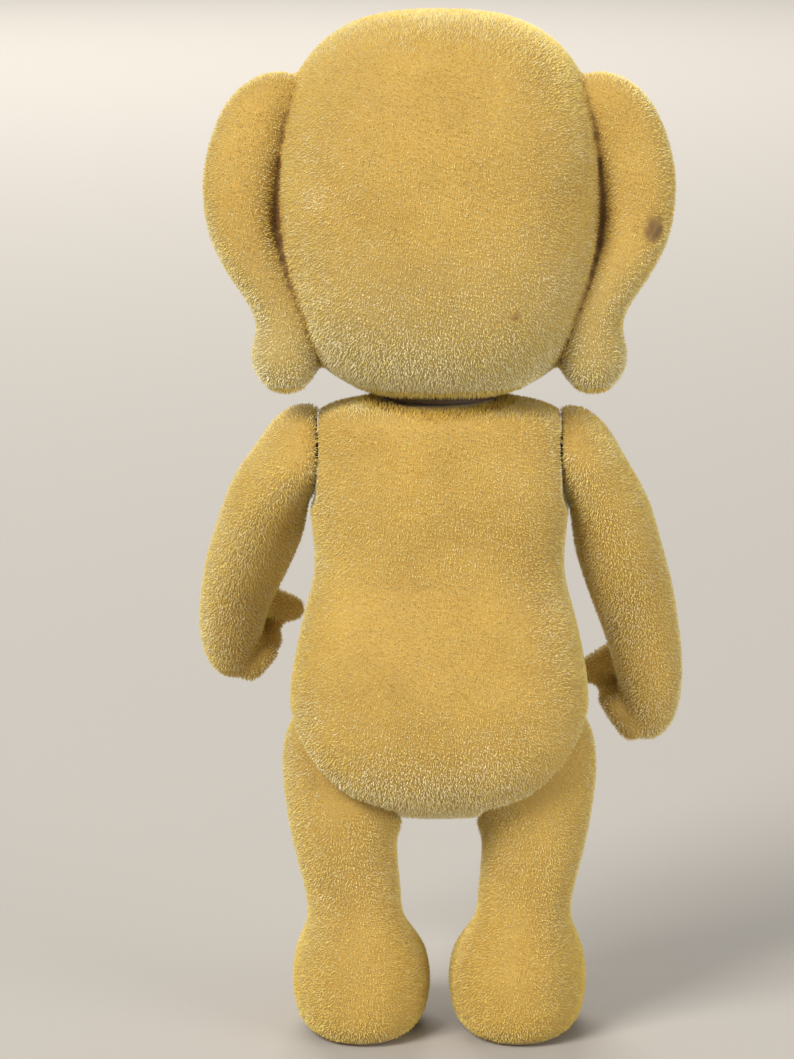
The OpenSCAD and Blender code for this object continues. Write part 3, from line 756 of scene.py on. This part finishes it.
def pile_tree():
    """Scatters leaning spikes over a skin. Its inputs are those of PILE, and Seed."""
    tree = bpy.data.node_groups.new("flock_pile", "GeometryNodeTree")
    tree.interface.new_socket("Geometry", in_out="INPUT", socket_type="NodeSocketGeometry")
    for name, value in PILE.items():
        tree.interface.new_socket(name, in_out="INPUT", socket_type="NodeSocketFloat").default_value = value
    tree.interface.new_socket("Seed", in_out="INPUT", socket_type="NodeSocketInt").default_value = 1
    tree.interface.new_socket("Geometry", in_out="OUTPUT", socket_type="NodeSocketGeometry")
    given = tree.nodes.new("NodeGroupInput").outputs
    result = tree.nodes.new("NodeGroupOutput")

    def field(name):
        return add_node(tree, "GeometryNodeInputNamedAttribute", {"data_type": "FLOAT"},
                        n0=name).outputs["Attribute"]

    def vector_math(operation, a, b=None, scale=None):
        sockets = {"n0": a}
        if b is not None:
            sockets["n1"] = b
        if scale is not None:
            sockets["Scale"] = scale
        return add_node(tree, "ShaderNodeVectorMath", {"operation": operation}, **sockets).outputs[0]

    def number(operation, a, b):
        return add_node(tree, "ShaderNodeMath", {"operation": operation}, n0=a, n1=b).outputs[0]

    here = field("here")                       # 1 on the part of the skin that this piece covers
    thick = number("MULTIPLY", given["Density"], here)
    points = add_node(tree, "GeometryNodeDistributePointsOnFaces", {"distribute_method": "RANDOM"},
                      Mesh=given["Geometry"], Density=thick, Seed=given["Seed"])
    spread = add_node(tree, "FunctionNodeRandomValue", {"data_type": "FLOAT_VECTOR"},
                      n0=(-1, -1, -1), n1=(1, 1, 1), Seed=given["Seed"]).outputs["Value"]
    down = add_node(tree, "FunctionNodeInputVector", {"vector": (0, 0, -1)}).outputs[0]
    leaning = vector_math("SCALE", down, scale=given["Lean"])
    untidy = vector_math("SCALE", spread, scale=given["Disorder"])
    aim_at = vector_math("ADD", vector_math("ADD", points.outputs["Normal"], leaning), untidy)
    turned = add_node(tree, "FunctionNodeAlignRotationToVector", {"axis": "Z"}, Vector=aim_at)
    cone = add_node(tree, "GeometryNodeMeshCone", {"fill_type": "TRIANGLE_FAN"}, Vertices=3,
                    Radius_Top=0.0, Radius_Bottom=0.5, Depth=1.0)
    lengths = add_node(tree, "FunctionNodeRandomValue", {"data_type": "FLOAT"},
                       n2=SHORTEST, n3=LONGEST, Seed=number("ADD", given["Seed"], 7.0)).outputs[1]
    tall = number("MULTIPLY", number("MULTIPLY", given["Length"], lengths), field("nap"))
    size = add_node(tree, "ShaderNodeCombineXYZ", X=given["Width"], Y=given["Width"], Z=tall)
    stood = add_node(tree, "GeometryNodeInstanceOnPoints", Points=points.outputs["Points"],
                     Instance=cone.outputs["Mesh"], Rotation=turned.outputs["Rotation"],
                     Scale=size.outputs[0]).outputs["Instances"]

    clouds = add_node(tree, "ShaderNodeTexNoise", Scale=1 / CLOUD_SIZE, Detail=2.0).outputs["Fac"]
    tufts = add_node(tree, "ShaderNodeTexNoise", Scale=1 / TUFT_SIZE, Detail=1.0).outputs["Fac"]
    dice = add_node(tree, "FunctionNodeRandomValue", {"data_type": "FLOAT"},
                    n2=-DICE_TONES, n3=DICE_TONES, Seed=number("ADD", given["Seed"], 3.0)).outputs[1]
    mixed = number("ADD", number("MULTIPLY", clouds, CLOUD_TONES), number("MULTIPLY", tufts, TUFT_TONES))
    tone = number("SUBTRACT", number("ADD", number("ADD", mixed, dice), TONE_START), field("shade"))
    named = add_node(tree, "GeometryNodeStoreNamedAttribute", {"data_type": "FLOAT", "domain": "INSTANCE"},
                     Geometry=stood, Name="tone", Value=tone).outputs["Geometry"]
    geometry = add_node(tree, "GeometryNodeRealizeInstances", Geometry=named).outputs["Geometry"]
    for step, material in enumerate(fibre_materials):
        if step == 0:
            chosen = {}
        else:
            least = CREASE_SHADE_TONE if step == len(fibre_materials) - 1 else float(step)
            chosen = {"Selection": add_node(tree, "FunctionNodeCompare",
                                            {"data_type": "FLOAT", "operation": "GREATER_THAN"},
                                            n0=field("tone"), n1=least).outputs[0]}
        geometry = add_node(tree, "GeometryNodeSetMaterial", Geometry=geometry,
                            Material=material, **chosen).outputs["Geometry"]
    tree.links.new(geometry, result.inputs[0])
    return tree


flock_pile = pile_tree()
pile_inputs = {item.name: item.identifier for item in flock_pile.interface.items_tree
               if item.in_out == "INPUT"}
print("pile inputs:", sorted(pile_inputs))

# %% Growing the pile on a skin
def drop_empty_slots(mesh):
    """Takes the unused empty material slots out of a mesh and moves the faces' slot numbers along."""
    slots = list(mesh.materials)
    kept = [i for i, material in enumerate(slots) if material is not None]
    moved = np.zeros(len(slots), np.int32)
    moved[kept] = np.arange(len(kept))
    numbers = np.empty(len(mesh.polygons), np.int32)
    mesh.polygons.foreach_get("material_index", numbers)
    mesh.materials.clear()
    for i in kept:
        mesh.materials.append(slots[i])
    mesh.polygons.foreach_set("material_index", moved[numbers])


PILE_LAYERS = ("nap", "shade", "here", "tone", "paint_and_crease_shade", "painted_sheen")      # of no use once the fibres stand


def grow_pile(name, body, covers, seed):
    """Grows the pile on the part of a body's skin where covers(points) is true, as one plain mesh."""
    skin = skins[body]
    points, _ = mesh_arrays(skin.data)
    store(skin.data, "here", np.where(naps[body] > 0.05, covers(points), 0.0))
    grown = bpy.data.objects.new(name, skin.data)
    bpy.context.collection.objects.link(grown)
    modifier = grown.modifiers.new("pile", "NODES")
    modifier.node_group = flock_pile
    for key, value in {**PILE, "Seed": seed}.items():
        modifier[pile_inputs[key]] = value
    mesh = evaluated_copy(grown, name)
    grown.modifiers.clear()
    grown.data = mesh
    drop_empty_slots(mesh)
    for layer in [a.name for a in mesh.attributes if a.name in PILE_LAYERS]:
        mesh.attributes.remove(mesh.attributes[layer])
    print(name, "has", len(mesh.polygons) // 4, "fibres")
    return grown


# %% The pile of every body, in pieces that stay under the triangle limit
ear_gap = 0.5 * (cad_high.x - cad_low.x) - 10.5 * MM     # beyond this, a point is on an ear


def in_front(points):
    return points[:, 1] < neck_centre.y


def on_ear(points):
    return np.abs(points[:, 0]) > ear_gap


piles = {
    "torso_pile_front": ("torso", in_front, 11),
    "torso_pile_back": ("torso", lambda p: ~in_front(p), 12),
    "face_pile_left": ("head", lambda p: in_front(p) & ~on_ear(p) & (p[:, 0] >= 0), 13),
    "face_pile_right": ("head", lambda p: in_front(p) & ~on_ear(p) & (p[:, 0] < 0), 14),
    "crown_pile_left": ("head", lambda p: ~in_front(p) & ~on_ear(p) & (p[:, 0] >= 0), 15),
    "crown_pile_right": ("head", lambda p: ~in_front(p) & ~on_ear(p) & (p[:, 0] < 0), 20),
    "ear_pile_left": ("head", lambda p: on_ear(p) & (p[:, 0] >= 0), 21),
    "ear_pile_right": ("head", lambda p: on_ear(p) & (p[:, 0] < 0), 22),
    "arm_pile_left": ("arm_left", lambda p: p[:, 0] > 0, 16),
    "arm_pile_right": ("arm_right", lambda p: p[:, 0] < 0, 17),
    "leg_pile_left": ("leg_left", lambda p: p[:, 0] > 0, 18),
    "leg_pile_right": ("leg_right", lambda p: p[:, 0] < 0, 19),
}
grown_piles = {}
for name, (body, covers, seed) in piles.items():
    grown_piles[name] = (grow_pile(name, body, covers, seed), body)
for skin in skins.values():
    for layer in ("nap", "shade", "here"):
        if layer in skin.data.attributes:
            skin.data.attributes.remove(skin.data.attributes[layer])
print("the pile is in", len(grown_piles), "pieces")

# %% [markdown]
# ## Eyes and nose
#
# The eyes are glossy moulded domes, dark brown with a black pupil under a clear coat.
# The nose is satin black plastic with a faint pebble. Their CAD shapes are right, so
# only their materials change.

# %% Eye material
PUPIL_SHARE = 0.56            # of the eye's radius
EYE_RADIUS = 2.7 * MM


def eye_plastic(node):
    """Dark brown acrylic with a black pupil, centred on one eye."""
    made, tree = new_material("acrylic_" + node)
    place = add_node(tree, "ShaderNodeTexCoord").outputs["Object"]
    middle = node_middle(node)
    moved = add_node(tree, "ShaderNodeVectorMath", {"operation": "SUBTRACT"}, n0=place,
                     n1=(middle.x, 0.0, middle.z))
    flat = add_node(tree, "ShaderNodeVectorMath", {"operation": "MULTIPLY"}, n0=moved.outputs[0],
                    n1=(1.04, 0.0, 1.0))
    from_middle = add_node(tree, "ShaderNodeVectorMath", {"operation": "LENGTH"},
                           n0=flat.outputs[0]).outputs["Value"]
    share = add_node(tree, "ShaderNodeMath", {"operation": "DIVIDE"}, n0=from_middle, n1=EYE_RADIUS)
    flecks = add_node(tree, "ShaderNodeTexNoise", Vector=place, Scale=1 / (0.6 * MM), Detail=2.0)
    shifted = add_node(tree, "ShaderNodeMath", {"operation": "MULTIPLY_ADD"},
                       n0=flecks.outputs["Fac"], n1=0.12, n2=share.outputs[0])
    colour = ramp(tree, shifted.outputs[0],
                  [(0.0, "050403"), (PUPIL_SHARE, "070504"), (PUPIL_SHARE + 0.06, "3A1C0A"),
                   (0.9, "552C12"), (1.0, "150A05")])
    scuffs = add_node(tree, "ShaderNodeTexNoise", Vector=place, Scale=1 / (1.5 * MM), Detail=4.0)
    rough = add_node(tree, "ShaderNodeMath", {"operation": "MULTIPLY_ADD"},
                     n0=scuffs.outputs["Fac"], n1=0.12, n2=0.06)
    finish_material(tree, add_node(tree, "ShaderNodeBsdfPrincipled", Base_Color=colour,
                                   Roughness=rough.outputs[0], IOR=1.49, Coat_Weight=1.0,
                                   Coat_Roughness=0.04))
    return made


# %% Nose, peg and washer materials
def pebbled(name, low, high, roughness, grain, depth):
    """Moulded stuff with a two-tone mottle and a pebble of one grain size."""
    made, tree = new_material(name)
    place = add_node(tree, "ShaderNodeTexCoord").outputs["Object"]
    mottle = add_node(tree, "ShaderNodeTexNoise", Vector=place, Scale=1 / (6 * grain), Detail=3.0)
    pebble = add_node(tree, "ShaderNodeTexNoise", Vector=place, Scale=1 / grain, Detail=2.0)
    colour = ramp(tree, mottle.outputs["Fac"], [(0.3, low), (0.7, high)])
    rough = add_node(tree, "ShaderNodeMath", {"operation": "MULTIPLY_ADD"},
                     n0=pebble.outputs["Fac"], n1=0.15, n2=roughness)
    bump = add_node(tree, "ShaderNodeBump", Height=pebble.outputs["Fac"], Strength=0.4, Distance=depth)
    finish_material(tree, add_node(tree, "ShaderNodeBsdfPrincipled", Base_Color=colour,
                                   Roughness=rough.outputs[0], IOR=1.5, Normal=bump.outputs["Normal"]))
    return made


nose_plastic = pebbled("satin_black_abs", "0B0908", "1A1512", 0.28, 0.45 * MM, 0.05 * MM)
# the pegs and plugs are brown nylon, darkened further as painted shade where they show in the neck and
# shoulder gaps
nylon = pebbled("brown_nylon_darkened_as_shade", "3C2914", "4A3318", 0.55, 0.3 * MM, 0.02 * MM)
felt = pebbled("wool_felt", "453C34", "5F5449", 0.85, 0.12 * MM, 0.08 * MM)


# %% Which small part wears which material
def finish_node(node, material):
    """Gives a CAD node one material."""
    mesh = frame["nodes"][node].data
    mesh.materials.clear()
    mesh.materials.append(material)
    print(node, "is in", material.name)


for node in ("eye_left", "eye_right"):
    finish_node(node, eye_plastic(node))
finish_node("nose", nose_plastic)
for node in frame["nodes"]:
    if node.endswith(("washer", "washers")) and not node.startswith(("eye", "nose")):
        finish_node(node, felt)
    elif "peg" in node or "plug" in node or node in ("eye_washers", "nose_washer"):
        finish_node(node, nylon)

# %% [markdown]
# ## Everything rides on its body
#
# Each skin and its pile move with the CAD body they cover, and each skin stands in for
# the CAD solids that it was made from. The pegs, washers, eyes and nose stay as they are.

# %% Bodies and replaced solids
covered = {"torso": ("torso_front", "torso_back"), "head": ("head", "ear_left", "ear_right")}
for body, skin in skins.items():
    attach(skin, body)
    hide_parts(*covered.get(body, (body,)))
for pile, body in grown_piles.values():
    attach(pile, body)
